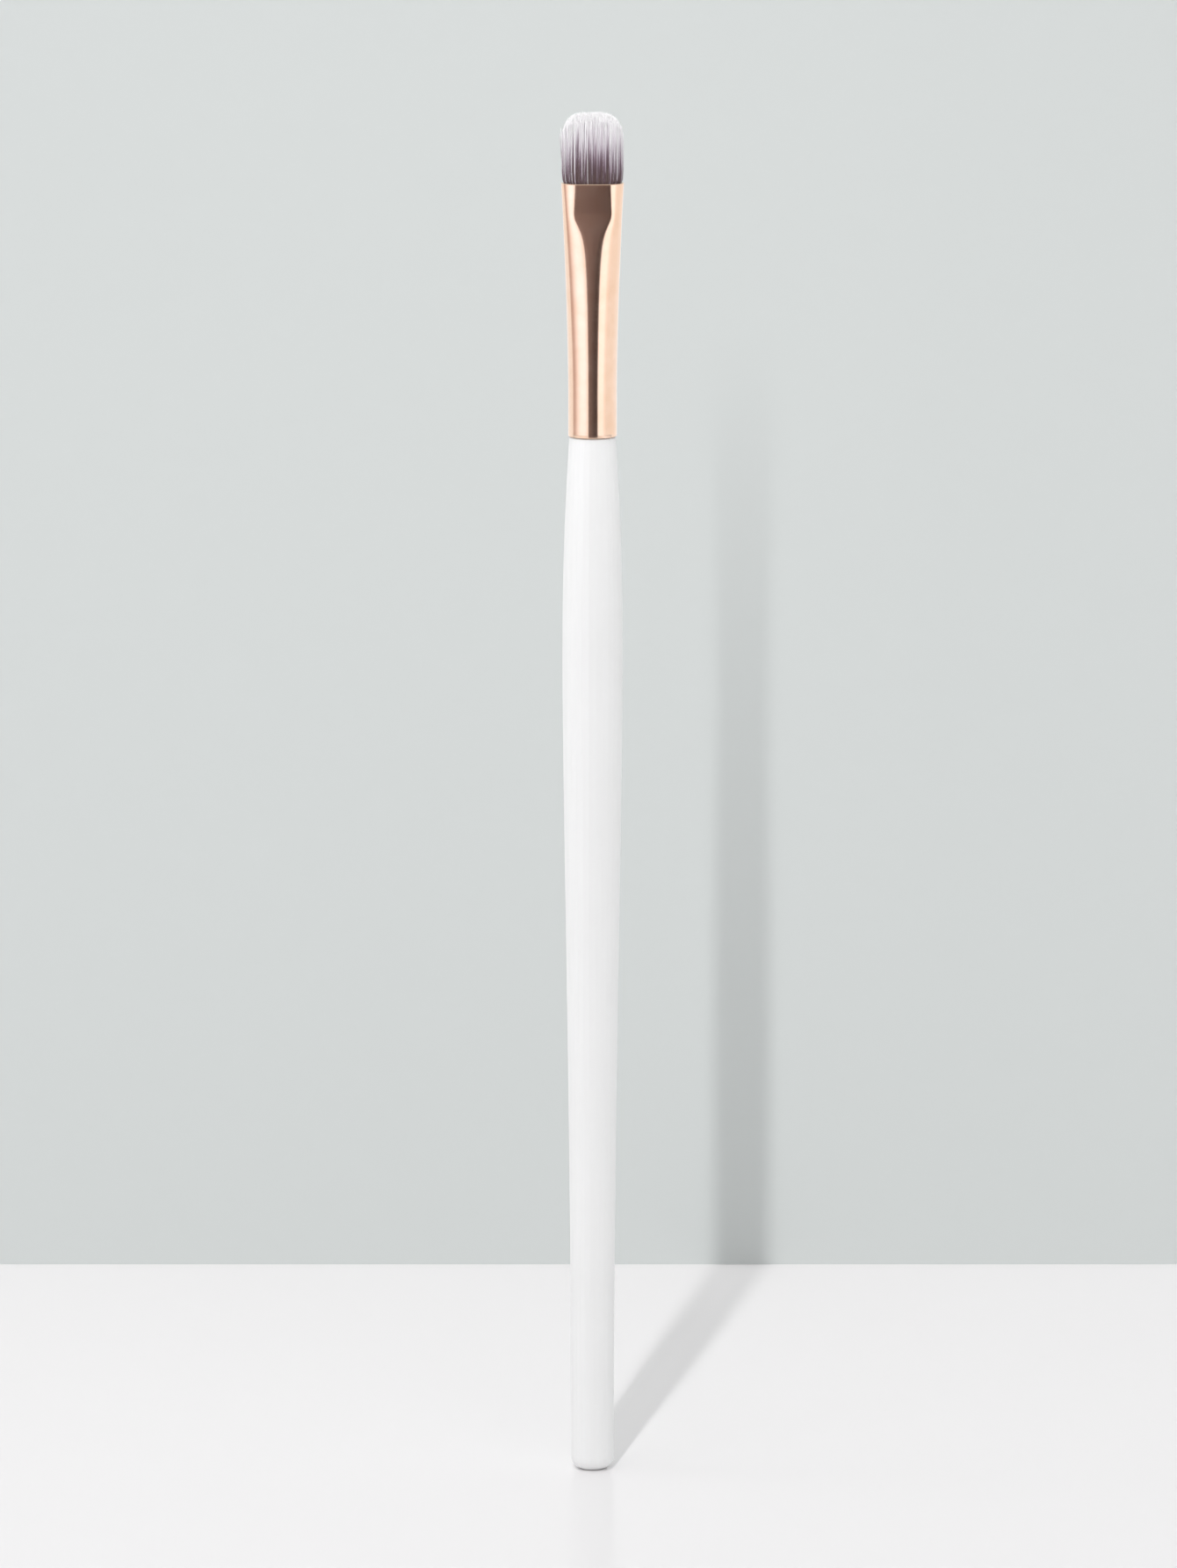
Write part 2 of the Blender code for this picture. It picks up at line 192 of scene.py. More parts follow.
def pressed_section(height):
    """Half-width, half-depth and half-flat of the ferrule's outside. The tube keeps its girth as it is
    pressed, so what its mouth gains in width it loses in depth."""
    depth = mouth - height
    flare = max(0.0, 1 - depth / FLARE_DEPTH) ** FLARE_POWER
    half_width = blended(TUBE_RADIUS, MOUTH_HALF_WIDTH, flare)
    if depth < PANEL_DEPTH:
        half_flat = blended(MOUTH_HALF_FLAT, PANEL_HALF_FLAT, depth / PANEL_DEPTH)
    else:
        fade = 1 / (1 + ((depth - PANEL_DEPTH) / PANEL_FADE) ** FADE_POWER)
        half_flat = PANEL_HALF_FLAT * max(0.0, fade - FADE_END) / (1 - FADE_END)
    half_depth = 2 * TUBE_RADIUS - 4 * half_flat / math.pi - (half_width - half_flat)
    return half_width, half_depth, half_flat


def pressed_quarter(height):
    """A quarter of the pressed section, from its narrow end to the middle of its flat, with the share of
    the quarter's girth at each point. The flat is left a little crowned, as springy metal is."""
    half_width, half_depth, half_flat = pressed_section(height)
    turn = np.linspace(0, math.pi / 2, QUARTER_STEPS)
    across_flat = np.linspace(1, 0, QUARTER_STEPS)[1:]
    x = np.concatenate([half_flat + (half_width - half_flat) * np.cos(turn), half_flat * across_flat])
    crown = PANEL_CROWN * half_flat / MOUTH_HALF_FLAT * (1 - across_flat**2)
    y = np.concatenate([half_depth * np.sin(turn), half_depth + crown])
    girth = np.concatenate([[0.0], np.cumsum(np.hypot(np.diff(x), np.diff(y)))])
    return girth / girth[-1], x, y


def press(tube):
    """Moves each point of a round tube to where the dies press it. It keeps its share of the girth."""
    quarters = {}
    for vertex in tube.data.vertices:
        height = round(vertex.co.z, 7)
        if height not in quarters:
            quarters[height] = pressed_quarter(height)
        share = math.atan2(abs(vertex.co.y), abs(vertex.co.x)) / (math.pi / 2)
        girth, x, y = quarters[height]
        vertex.co.x = math.copysign(np.interp(share, girth, x), vertex.co.x)
        vertex.co.y = math.copysign(np.interp(share, girth, y), vertex.co.y)


def add_tube(name, sides, radius, levels, fill):
    """A round tube through the given levels, drawn up from its lowest ring."""
    bpy.ops.object.select_all(action="DESELECT")
    bpy.ops.mesh.primitive_circle_add(vertices=sides, radius=radius, fill_type=fill)
    tube = bpy.context.object
    tube.name = name
    tube.location.z = levels[0]
    tube.rotation_euler.z = math.pi / sides
    bpy.ops.object.transform_apply(location=True, rotation=True, scale=True)
    bpy.ops.object.mode_set(mode="EDIT")
    bpy.ops.mesh.select_all(action="SELECT")
    for below, above in zip(levels, levels[1:]):
        bpy.ops.mesh.extrude_region_move(TRANSFORM_OT_translate={"value": (0, 0, above - below)})
    bpy.ops.mesh.select_all(action="SELECT")
    bpy.ops.mesh.normals_make_consistent(inside=False)
    bpy.ops.object.mode_set(mode="OBJECT")
    return tube


def round_rim(tube, height, radius):
    """Trims a tube's end level at a height and rounds the two edges of its wall there."""
    bpy.ops.object.mode_set(mode="EDIT")
    bpy.ops.mesh.select_mode(type="EDGE")
    bpy.ops.mesh.select_all(action="DESELECT")
    bpy.ops.object.mode_set(mode="OBJECT")
    rim = {vertex.index for vertex in tube.data.vertices if abs(vertex.co.z - height) < WALL / 3}
    for index in rim:
        tube.data.vertices[index].co.z = height
    keys = [key for face in tube.data.polygons if rim.issuperset(face.vertices) for key in face.edge_keys]
    uses = collections.Counter(keys)
    for edge in tube.data.edges:
        edge.select = uses[edge.key] == 1
    bpy.ops.object.mode_set(mode="EDIT")
    bpy.ops.mesh.bevel(offset=radius, segments=RIM_STEPS, affect="EDGES")
    bpy.ops.object.mode_set(mode="OBJECT")


levels = [blended(ferrule_foot, mouth, step / FERRULE_LEVELS) for step in range(FERRULE_LEVELS + 1)]
ferrule = add_tube("ferrule_pressed_tube", FERRULE_SIDES, TUBE_RADIUS, levels, "NOTHING")
press(ferrule)
wall = ferrule.modifiers.new("wall", "SOLIDIFY")
wall.thickness = WALL
wall.offset = -1.0
wall.use_even_offset = True
bpy.ops.object.modifier_apply(modifier=wall.name)
round_rim(ferrule, mouth, MOUTH_ROUND)
round_rim(ferrule, ferrule_foot, FOOT_ROUND)
bpy.ops.object.shade_smooth_by_angle(angle=FERRULE_CREASE)

# Polished anodised aluminium: a mirror-like metal that the dye tints, softened by the oxide's faint haze
# and by the fine lines of drawing. The real lines are finer than these, which are as coarse as shows.
rose_gold, tree, shader = start_material("rose_gold_anodised_aluminium")
place = add_node(tree, "ShaderNodeTexCoord", {}, {}).outputs["Object"]
polish = add_node(tree, "ShaderNodeTexNoise", {}, {"Vector": place, "Scale": 1 / POLISH_PATCH, "Detail": 4.0})
dye = add_node(tree, "ShaderNodeValToRGB", {}, {"Fac": polish.outputs["Fac"]})
dye.color_ramp.elements[0].position = 0.30
dye.color_ramp.elements[0].color = linear(ROSE_GOLD_DEEP)
dye.color_ramp.elements[1].position = 0.65
dye.color_ramp.elements[1].color = linear(ROSE_GOLD)
haze = add_node(
    tree,
    "ShaderNodeMapRange",
    {},
    {"Value": polish.outputs["Fac"], "To Min": OXIDE_ROUGHNESS[0], "To Max": OXIDE_ROUGHNESS[1]},
)
along_tube = add_node(
    tree,
    "ShaderNodeMapping",
    {},
    {"Vector": place, "Scale": (1 / DRAW_LINE_WIDTH, 1 / DRAW_LINE_WIDTH, 1 / DRAW_LINE_LENGTH)},
)
draw_lines = add_node(
    tree, "ShaderNodeTexNoise", {}, {"Vector": along_tube.outputs["Vector"], "Scale": 1.0, "Detail": 2.0}
)
draw_bump = add_node(
    tree, "ShaderNodeBump", {}, {"Distance": DRAW_LINE_HEIGHT, "Height": draw_lines.outputs["Fac"]}
)
tree.links.new(dye.outputs["Color"], shader.inputs["Base Color"])
tree.links.new(haze.outputs["Result"], shader.inputs["Roughness"])
tree.links.new(draw_bump.outputs["Normal"], shader.inputs["Normal"])
shader.inputs["Metallic"].default_value = 1.0
shader.inputs["Coat Weight"].default_value = 1.0
shader.inputs["Coat Roughness"].default_value = 0.12
shader.inputs["Coat IOR"].default_value = 1.6
ferrule.data.materials.append(rose_gold)
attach(ferrule, "root")
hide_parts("ferrule")

# Resin behind the tuft
# Casting resin poured in behind the tied bundle. It fills the bore, grips the roots and sets clear with a
# yellow cast and a few trapped bubbles.

RESIN_PALE = "#E2D3A6"
RESIN_DEEP = "#C4AC74"
RESIN_BUBBLE = 0.7 * MM

resin, tree, shader = start_material("set_casting_resin")
place = add_node(tree, "ShaderNodeTexCoord", {}, {}).outputs["Object"]
bubbles = add_node(tree, "ShaderNodeTexVoronoi", {}, {"Vector": place, "Scale": 1 / RESIN_BUBBLE})
resin_colour = add_node(tree, "ShaderNodeValToRGB", {}, {"Fac": bubbles.outputs["Distance"]})
resin_colour.color_ramp.elements[0].position = 0.10
resin_colour.color_ramp.elements[0].color = linear(RESIN_PALE)
resin_colour.color_ramp.elements[1].position = 0.50
resin_colour.color_ramp.elements[1].color = linear(RESIN_DEEP)
tree.links.new(resin_colour.outputs["Color"], shader.inputs["Base Color"])
shader.inputs["Roughness"].default_value = 0.18
shader.inputs["IOR"].default_value = 1.52
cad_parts["head_resin"].material_slots[0].material = resin

# Binding thread
# Four turns of twisted polyester thread, wound tight round the bundle of filaments to hold them while the
# resin sets. Each ply shows as a slanting ridge, and the groove between plies is painted darker as shade.

THREAD_LIGHT = "#EAE6DA"
THREAD_SHADE = "#BDB7A6"
PLY_LENGTH = 0.55 * MM
PLY_HEIGHT = 0.03 * MM

thread, tree, shader = start_material("twisted_polyester_thread")
place = add_node(tree, "ShaderNodeTexCoord", {}, {}).outputs["Object"]
plies = add_node(
    tree,
    "ShaderNodeTexWave",
    {"bands_direction": "DIAGONAL"},
    {"Vector": place, "Scale": 1 / (PLY_LENGTH * 2 * math.pi), "Distortion": 1.0},
)
# The same wave paints the grooves between plies darker than the ridges: painted shade, not a second colour of
# thread.
thread_colour = add_node(tree, "ShaderNodeValToRGB", {}, {"Fac": plies.outputs["Fac"]})
thread_colour.color_ramp.elements[0].color = linear(THREAD_SHADE)
thread_colour.color_ramp.elements[1].color = linear(THREAD_LIGHT)
ply_bump = add_node(tree, "ShaderNodeBump", {}, {"Distance": PLY_HEIGHT, "Height": plies.outputs["Fac"]})
tree.links.new(thread_colour.outputs["Color"], shader.inputs["Base Color"])
tree.links.new(ply_bump.outputs["Normal"], shader.inputs["Normal"])
shader.inputs["Roughness"].default_value = 0.8
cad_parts["binding_thread"].material_slots[0].material = thread

# Bristle tuft
# Tapered polyester filaments, about 2,400 here and finer and more on a real brush. They are drawn white,
# dip-dyed brown from the root, each to a height of its own, set in one block and trimmed to a dome.

ROOT_INSET = WALL + 0.05 * MM
ROOT_TOP_DEPTH = 0.30 * MM
WAIST_GAP = 0.05 * MM
WAIST_DEPTH = 0.15 * MM
BLOCK_SIDES = 64
BLOCK_STEPS = 8
TUFT_REACH = 8.95 * MM
SIDE_REACH = 4.0 * MM
FACE_DROP = 0.9 * MM
TIP_SCATTER = 0.24 * MM
CROWN_POWER = 3.2
SWELL_REACH = 4.2 * MM
SWELL_POWER = 14
SWELL_OVER_WIDTH = -0.03 * MM
SWELL_UNDER_DEPTH = 0.06 * MM
TIP_DRAW_WIDTH = 0.12 * MM
TIP_DRAW_DEPTH = 0.45 * MM
FILAMENT_PITCH = 0.088 * MM
FILAMENT_RADIUS = 0.050 * MM
FILAMENT_SIDES = 4
FILAMENT_SINK = 0.8 * MM
FILAMENT_TAPER = ((0.0, 1.0), (0.10, 1.0), (0.16, 1.0), (0.30, 1.0), (0.52, 1.0), (0.86, 0.94), (0.972, 0.62))
ROOT_SHARE = 0.16
ROOT_REACH = 0.35 * MM
PLACE_JITTER = 0.020 * MM
ROW_STAGGER = 0.25
WISP_PITCH = 0.32 * MM
WISP_PULL = 0.10
WISP_POWER = 1.6
LEAN = 0.040 * MM
STRAY_SHARE = 0.02
STRAY_LEAN = 0.12 * MM
TUFT_CREASE = math.radians(100)
SEED = 11


def tuft_half_size(root, swell, draw, reach):
    """Half the tuft's width or depth over the mouth: it swells above its root and draws in at its tips."""
    if reach < SWELL_REACH:
        rise = max(0.0, reach) / SWELL_REACH
        return blended(root, swell, 1 - (1 - rise) ** SWELL_POWER)
    fall = (reach - SWELL_REACH) / (TUFT_REACH - SWELL_REACH)
    return swell - draw * fall**2


def filament_reach(share, foot, top):
    """A filament's height over the mouth at a share of its length. Just over the mouth they all keep step."""
    if share < ROOT_SHARE:
        return blended(foot, ROOT_REACH, share / ROOT_SHARE)
    return blended(ROOT_REACH, top, (share - ROOT_SHARE) / (1 - ROOT_SHARE))


def make_filament():
    """One filament of unit length, square-sided and tapered to a point, drawn up ring by ring."""
    bpy.ops.object.select_all(action="DESELECT")
    bpy.ops.mesh.primitive_circle_add(vertices=FILAMENT_SIDES, radius=FILAMENT_RADIUS, fill_type="NGON")
    filament = bpy.context.object
    bpy.ops.object.mode_set(mode="EDIT")
    bpy.ops.mesh.select_all(action="SELECT")
    for (below, wide), (above, narrow) in zip(FILAMENT_TAPER, FILAMENT_TAPER[1:]):
        bpy.ops.mesh.extrude_region_move(TRANSFORM_OT_translate={"value": (0, 0, above - below)})
        bpy.ops.transform.resize(value=(narrow / wide, narrow / wide, 1))
    bpy.ops.mesh.extrude_region_move(TRANSFORM_OT_translate={"value": (0, 0, 1 - FILAMENT_TAPER[-1][0])})
    bpy.ops.mesh.merge(type="CENTER")
    bpy.ops.mesh.select_all(action="SELECT")
    bpy.ops.mesh.normals_make_consistent(inside=False)
    bpy.ops.object.mode_set(mode="OBJECT")
    points = np.array([vertex.co[:] for vertex in filament.data.vertices])
    faces = [list(face.vertices) for face in filament.data.polygons]
    bpy.data.objects.remove(filament)
    return points, faces


mouth_width, mouth_depth, mouth_flat = pressed_section(mouth)
root_width = mouth_width - ROOT_INSET
root_depth = mouth_depth - ROOT_INSET
swell_width = mouth_width + SWELL_OVER_WIDTH
swell_depth = mouth_depth - SWELL_UNDER_DEPTH


def section_points(pitch, margin):
    """A staggered grid of points over the tuft's root section, clear of its edge by a margin."""
    points = []
    row_pitch = pitch * math.sqrt(3) / 2
    depth = root_depth - margin
    rows = int(depth / row_pitch)
    for row in range(-rows, rows + 1):
        y = row * depth / rows
        end = math.sqrt(max(0.0, 1 - (y / depth) ** 2))
        reach = mouth_flat + (root_width - margin - mouth_flat) * end
        columns = max(1, int(2 * reach / pitch))
        offset = 0.5 + ROW_STAGGER * (row % 2)
        for column in range(columns):
            x = ((column + offset) / columns * 2 - 1) * reach
            points.append((x, y))
    return np.array(points)


chance = random.Random(SEED)
roots = section_points(FILAMENT_PITCH, FILAMENT_RADIUS)
roots += np.array([[chance.uniform(-PLACE_JITTER, PLACE_JITTER) for _ in range(2)] for _ in roots])
wisps = section_points(WISP_PITCH, 0.0)
wisps += np.array([[chance.uniform(-WISP_PITCH / 3, WISP_PITCH / 3) for _ in range(2)] for _ in wisps])
gaps = np.linalg.norm(roots[:, None] - wisps[None], axis=2)
own_wisp = wisps[gaps.argmin(axis=1)]

filament_points, filament_faces = make_filament()
vertices = []
faces = []
uv_places = []
for number, (root, wisp) in enumerate(zip(roots, own_wisp)):
    along = max(-1.0, min(1.0, root[0] / root_width))
    across = max(-1.0, min(1.0, root[1] / root_depth))
    crown = (1 - abs(along) ** CROWN_POWER) ** (1 / CROWN_POWER)
    top = blended(SIDE_REACH, TUFT_REACH - TIP_SCATTER, crown) - FACE_DROP * across**2
    top += TIP_SCATTER * chance.uniform(-1, 1)
    turn = chance.uniform(0, math.pi / 2)
    slack = STRAY_LEAN if chance.random() < STRAY_SHARE else LEAN
    lean = Vector((chance.gauss(0, slack), chance.gauss(0, slack)))
    foot = -ROOT_TOP_DEPTH - FILAMENT_SINK
    first = len(vertices)
    for x, y, share in filament_points:
        reach = filament_reach(share, foot, top)
        free = max(0.0, reach / top)
        half_width = tuft_half_size(root_width, swell_width, TIP_DRAW_WIDTH, reach)
        half_depth = tuft_half_size(root_depth, swell_depth, TIP_DRAW_DEPTH, reach)
        gathered = root + (wisp - root) * WISP_PULL * free**WISP_POWER
        centre_x = gathered[0] / root_width * half_width + lean.x * free**2
        centre_y = gathered[1] / root_depth * half_depth + lean.y * free**2
        turned_x = x * math.cos(turn) - y * math.sin(turn)
        turned_y = x * math.sin(turn) + y * math.cos(turn)
        vertices.append((centre_x + turned_x, centre_y + turned_y, mouth + reach))
        uv_places.append(((number + 0.5) / len(roots), share))
    faces += [[first + corner for corner in face] for face in filament_faces]

filament_mesh = bpy.data.meshes.new("bristle_filaments")
filament_mesh.from_pydata(vertices, [], faces)
filament_mesh.uv_layers.new(name="filament_and_length")
corner_vertices = np.zeros(len(filament_mesh.loops), int)
filament_mesh.loops.foreach_get("vertex_index", corner_vertices)
filament_mesh.uv_layers[0].uv.foreach_set("vector", np.array(uv_places)[corner_vertices].ravel())
tuft = bpy.data.objects.new("bristle_filaments", filament_mesh)
bpy.context.scene.collection.objects.link(tuft)

thread_low, thread_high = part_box("binding_thread")
thread_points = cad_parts["binding_thread"].data.vertices
waist = min(vertex.co.xy.length for vertex in thread_points) - WAIST_GAP
bundle = waist + WAIST_DEPTH
block_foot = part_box("bristle_tuft")[0].z
resin_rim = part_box("head_resin")[1].z
root_top = mouth - ROOT_TOP_DEPTH
levels = [block_foot, thread_low.z - WAIST_GAP, thread_low.z, thread_high.z, thread_high.z + WAIST_GAP]
levels += [blended(resin_rim, root_top, step / BLOCK_STEPS) for step in range(BLOCK_STEPS + 1)]
block = add_tube("root_block", BLOCK_SIDES, bundle, levels, "NGON")
for vertex in block.data.vertices:
    if thread_low.z - WAIST_GAP / 2 < vertex.co.z < thread_high.z + WAIST_GAP / 2:
        vertex.co.xy *= waist / bundle
    share = max(0.0, (vertex.co.z - resin_rim) / (root_top - resin_rim))
    angle = math.atan2(vertex.co.y, vertex.co.x)
    if share > 0:
        half_width = blended(bundle, root_width, share)
        half_flat = blended(0.0, mouth_flat, share)
        vertex.co.x = math.copysign(half_flat, math.cos(angle)) + (half_width - half_flat) * math.cos(angle)
        vertex.co.y = blended(root_depth, bundle, (1 - share) ** 2) * math.sin(angle)
block.data.uv_layers.new(name="filament_and_length")

bpy.ops.object.select_all(action="DESELECT")
block.select_set(True)
tuft.select_set(True)
bpy.context.view_layer.objects.active = tuft
bpy.ops.object.join()
bpy.ops.object.shade_smooth_by_angle(angle=TUFT_CREASE)

DYE_ROOT = "#695250"
DYE_LOW = "#614A4E"
DYE_FADE = "#816877"
DYE_LAST = "#CABDC8"
FILAMENT_PALE = "#EBE5EB"
FILAMENT_TIP = "#FFFEFF"
DYE_REACH = 8.0 * MM
DYE_SPREAD = 2.3 * MM
STREAK_WIDTH = 0.13 * MM
STREAK_LENGTH = 14.0 * MM
STREAK_SPREAD = 3.0 * MM
STREAK_NOISE = (0.3, 0.7)
SIDE_FADE = 1.5 * MM
SIDE_FADE_START_SHARE = 0.25
BARE_STRAND_RISE = 5.0 * MM
BARE_STRAND_POWER = 11.0
SHEERNESS = 0.15
DYE_STOPS = ((0.22, DYE_LOW), (0.40, DYE_FADE), (0.58, DYE_LAST), (0.73, FILAMENT_PALE))

# Extruded polyester filament, matt and a little sheer. The dye climbs each one to its own height, and by
# strands that stuck together in the bath, which gives the streaks.
fibre, tree, shader = start_material("dip_dyed_polyester_filament")
coordinates = add_node(tree, "ShaderNodeTexCoord", {}, {})
place = coordinates.outputs["Object"]
own = add_node(tree, "ShaderNodeSeparateXYZ", {}, {"Vector": coordinates.outputs["UV"]})
own_chance = add_node(tree, "ShaderNodeTexWhiteNoise", {"noise_dimensions": "1D"}, {"W": own.outputs["X"]})
along_tuft = add_node(
    tree,
    "ShaderNodeMapping",
    {},
    {"Vector": place, "Scale": (1 / STREAK_WIDTH, 1 / STREAK_WIDTH, 1 / STREAK_LENGTH)},
)
streaks = add_node(
    tree, "ShaderNodeTexNoise", {}, {"Vector": along_tuft.outputs["Vector"], "Scale": 1.0, "Detail": 1.0}
)
height = add_node(tree, "ShaderNodeSeparateXYZ", {}, {"Vector": place})
over_mouth = add_node(tree, "ShaderNodeMath", {"operation": "SUBTRACT"}, {0: height.outputs["Z"], 1: mouth})
own_offset = add_node(
    tree,
    "ShaderNodeMapRange",
    {},
    {"Value": own_chance.outputs["Value"], "To Min": -DYE_SPREAD / 2, "To Max": DYE_SPREAD / 2},
)
streak_offset = add_node(
    tree,
    "ShaderNodeMapRange",
    {},
    {
        "Value": streaks.outputs["Fac"],
        "From Min": STREAK_NOISE[0],
        "From Max": STREAK_NOISE[1],
        "To Min": -STREAK_SPREAD / 2,
        "To Max": STREAK_SPREAD / 2,
    },
)
bare = add_node(
    tree, "ShaderNodeMath", {"operation": "POWER"}, {0: own_chance.outputs["Value"], 1: BARE_STRAND_POWER}
)
bare_rise = add_node(
    tree, "ShaderNodeMath", {"operation": "MULTIPLY"}, {0: bare.outputs[0], 1: BARE_STRAND_RISE}
)
outward = add_node(tree, "ShaderNodeMath", {"operation": "ABSOLUTE"}, {0: height.outputs["X"]})
side_rise = add_node(
    tree,
    "ShaderNodeMapRange",
    {"interpolation_type": "SMOOTHSTEP"},
    {
        "Value": outward.outputs[0],
        "From Min": SIDE_FADE_START_SHARE * mouth_width,
        "From Max": mouth_width,
        "To Max": SIDE_FADE,
    },
)
dyed_height = over_mouth.outputs[0]
for rise in (own_offset, streak_offset, bare_rise, side_rise):
    lifted = add_node(tree, "ShaderNodeMath", {"operation": "ADD"}, {0: dyed_height, 1: rise.outputs[0]})
    dyed_height = lifted.outputs[0]
dye_share = add_node(
    tree,
    "ShaderNodeMapRange",
    {},
    {"Value": dyed_height, "From Min": 0.0, "From Max": DYE_REACH},
)
dye_ramp = add_node(tree, "ShaderNodeValToRGB", {}, {"Fac": dye_share.outputs["Result"]})
stops = dye_ramp.color_ramp.elements
stops[0].position = 0.0
stops[0].color = linear(DYE_ROOT)
stops[1].position = 1.0
stops[1].color = linear(FILAMENT_TIP)
for position, colour in DYE_STOPS:
    stops.new(position).color = linear(colour)
tree.links.new(dye_ramp.outputs["Color"], shader.inputs["Base Color"])
shader.inputs["Roughness"].default_value = 0.45
shader.inputs["Sheen Weight"].default_value = 0.3
shader.inputs["Sheen Roughness"].default_value = 0.4
sheer = add_node(tree, "ShaderNodeBsdfTranslucent", {}, {"Color": dye_ramp.outputs["Color"]})
strand = add_node(
    tree,
    "ShaderNodeMixShader",
    {},
    {0: SHEERNESS, 1: shader.outputs["BSDF"], 2: sheer.outputs["BSDF"]},
)
tree.links.new(strand.outputs["Shader"], tree.nodes["Material Output"].inputs["Surface"])
tuft.data.materials.clear()
tuft.data.materials.append(fibre)
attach(tuft, "root")
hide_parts("bristle_tuft")

# Stage
# A pale table top with a soft polish, and a plain wall close behind it. The wall has only a front, so
# that the brush can be looked at from behind.

TABLE_COLOUR = "#F0EEEF"
TABLE_ROUGHNESS = 0.18
TABLE_SPECULAR = 0.2
WALL_COLOUR = "#D5D9D8"
STAGE_REACH = 2.5
WALL_DISTANCE = 0.1185


def add_plane(name, corners):
    """A flat four-cornered piece of the stage."""
    mesh = bpy.data.meshes.new(name)
    mesh.from_pydata(corners, [], [(0, 1, 2, 3)])
    plane = bpy.data.objects.new(name, mesh)
    bpy.context.scene.collection.objects.link(plane)
    return plane


def add_upright_plane(name, left, right, distance, foot, top):
    """A plane that stands across the line from front to back, at a distance behind the brush."""
    low = [(left, distance, foot), (right, distance, foot)]
    high = [(right, distance, top), (left, distance, top)]
    return add_plane(name, low + high)


table = add_plane(
    "table_top",
    [
        (-STAGE_REACH, -STAGE_REACH, 0),
        (STAGE_REACH, -STAGE_REACH, 0),
        (STAGE_REACH, WALL_DISTANCE, 0),
        (-STAGE_REACH, WALL_DISTANCE, 0),
    ],
)
# Painted board with a soft polish, which mirrors what stands on it faintly.
table_finish, tree, shader = start_material("pale_table_top")
shader.inputs["Base Color"].default_value = linear(TABLE_COLOUR)
shader.inputs["Roughness"].default_value = TABLE_ROUGHNESS
shader.inputs["Specular IOR Level"].default_value = TABLE_SPECULAR
table.data.materials.append(table_finish)

wall = add_upright_plane("back_wall", -STAGE_REACH, STAGE_REACH, WALL_DISTANCE, 0, STAGE_REACH)

# Matt emulsion paint without any shine, clear where the wall is seen from its back.
wall_finish, tree, shader = start_material("matt_wall_paint")
shader.inputs["Base Color"].default_value = linear(WALL_COLOUR)
shader.inputs["Roughness"].default_value = 1.0
shader.inputs["Specular IOR Level"].default_value = 0.0
side = add_node(tree, "ShaderNodeNewGeometry", {}, {})
clear = add_node(tree, "ShaderNodeBsdfTransparent", {}, {})
one_sided = add_node(
    tree,
    "ShaderNodeMixShader",
    {},
    {0: side.outputs["Backfacing"], 1: shader.outputs["BSDF"], 2: clear.outputs["BSDF"]},
)
tree.links.new(one_sided.outputs["Shader"], tree.nodes["Material Output"].inputs["Surface"])
wall.data.materials.append(wall_finish)

# Studio light
# Softboxes stand round the brush and a small lamp lights its head, at levels that bring colours out about
# as written, and one bright strip high in front throws the shadow. Metal mirrors cards of its own instead.

AIR_LEVEL = 0.10
BACKDROP_COLOUR = "#D6DAD9"


def around(azimuth, distance, height):
    """A place round the brush: azimuth 0 is in front and 90 on the right."""
    angle = math.radians(azimuth)
    return Vector((math.sin(angle) * distance, -math.cos(angle) * distance, height))


def add_softbox(name, place, aim, width, height, glow):
    """An area lamp whose face is as bright as a white surface times glow. The camera doesn't see it."""
    light = bpy.data.lights.new(name, "AREA")
    light.shape = "RECTANGLE"
    light.size = width
    light.size_y = height
    light.energy = glow * math.pi * width * height
    lamp = bpy.data.objects.new(name, light)
    lamp.location = place
    lamp.rotation_euler = (aim - place).to_track_quat("-Z", "Y").to_euler()
    lamp.visible_camera = False
    lamp.visible_glossy = False
    bpy.context.scene.collection.objects.link(lamp)


def add_standing_softbox(name, azimuths, distance, heights, glow):
    """A softbox that faces the brush, between two azimuths and two heights."""
    half_turn = math.radians(azimuths[1] - azimuths[0]) / 2
    place = around(sum(azimuths) / 2, distance, sum(heights) / 2)
    width = 2 * distance * math.tan(half_turn)
    add_softbox(name, place, Vector((0, 0, place.z)), width, heights[1] - heights[0], glow)


# Each has its two azimuths, its distance, its two heights and its glow.
STANDING_SOFTBOXES = (
    ("left_side_softbox", (-112, -76), 0.50, (0.04, 0.28), 1.4),
    ("left_softbox", (-76, -20), 0.55, (0.0, 0.26), 0.97),
    ("left_softbox_core", (-58, -38), 0.54, (0.0, 0.26), 0.58),
    ("right_front_softbox", (24, 50), 0.60, (0.0, 0.26), 0.3),
    ("right_softbox", (50, 122), 0.50, (0.0, 0.16), 2.6),
)
for softbox in STANDING_SOFTBOXES:
    add_standing_softbox(*softbox)

OVERHEAD_PLACE = Vector((-0.3, -0.1, 1.2))
OVERHEAD_AIM = Vector((0, 0, 0.1))
OVERHEAD_SIZE = 0.9
OVERHEAD_GLOW = 1.7
add_softbox("overhead_softbox", OVERHEAD_PLACE, OVERHEAD_AIM, OVERHEAD_SIZE, OVERHEAD_SIZE, OVERHEAD_GLOW)

HEAD_FILL_PLACE = Vector((0, -0.036, 0.222))
HEAD_FILL_AIM = Vector((0, 0, 0.169))
HEAD_FILL_SIZE = 0.04
HEAD_FILL_GLOW = 4.0
add_softbox("head_fill", HEAD_FILL_PLACE, HEAD_FILL_AIM, HEAD_FILL_SIZE, HEAD_FILL_SIZE, HEAD_FILL_GLOW)

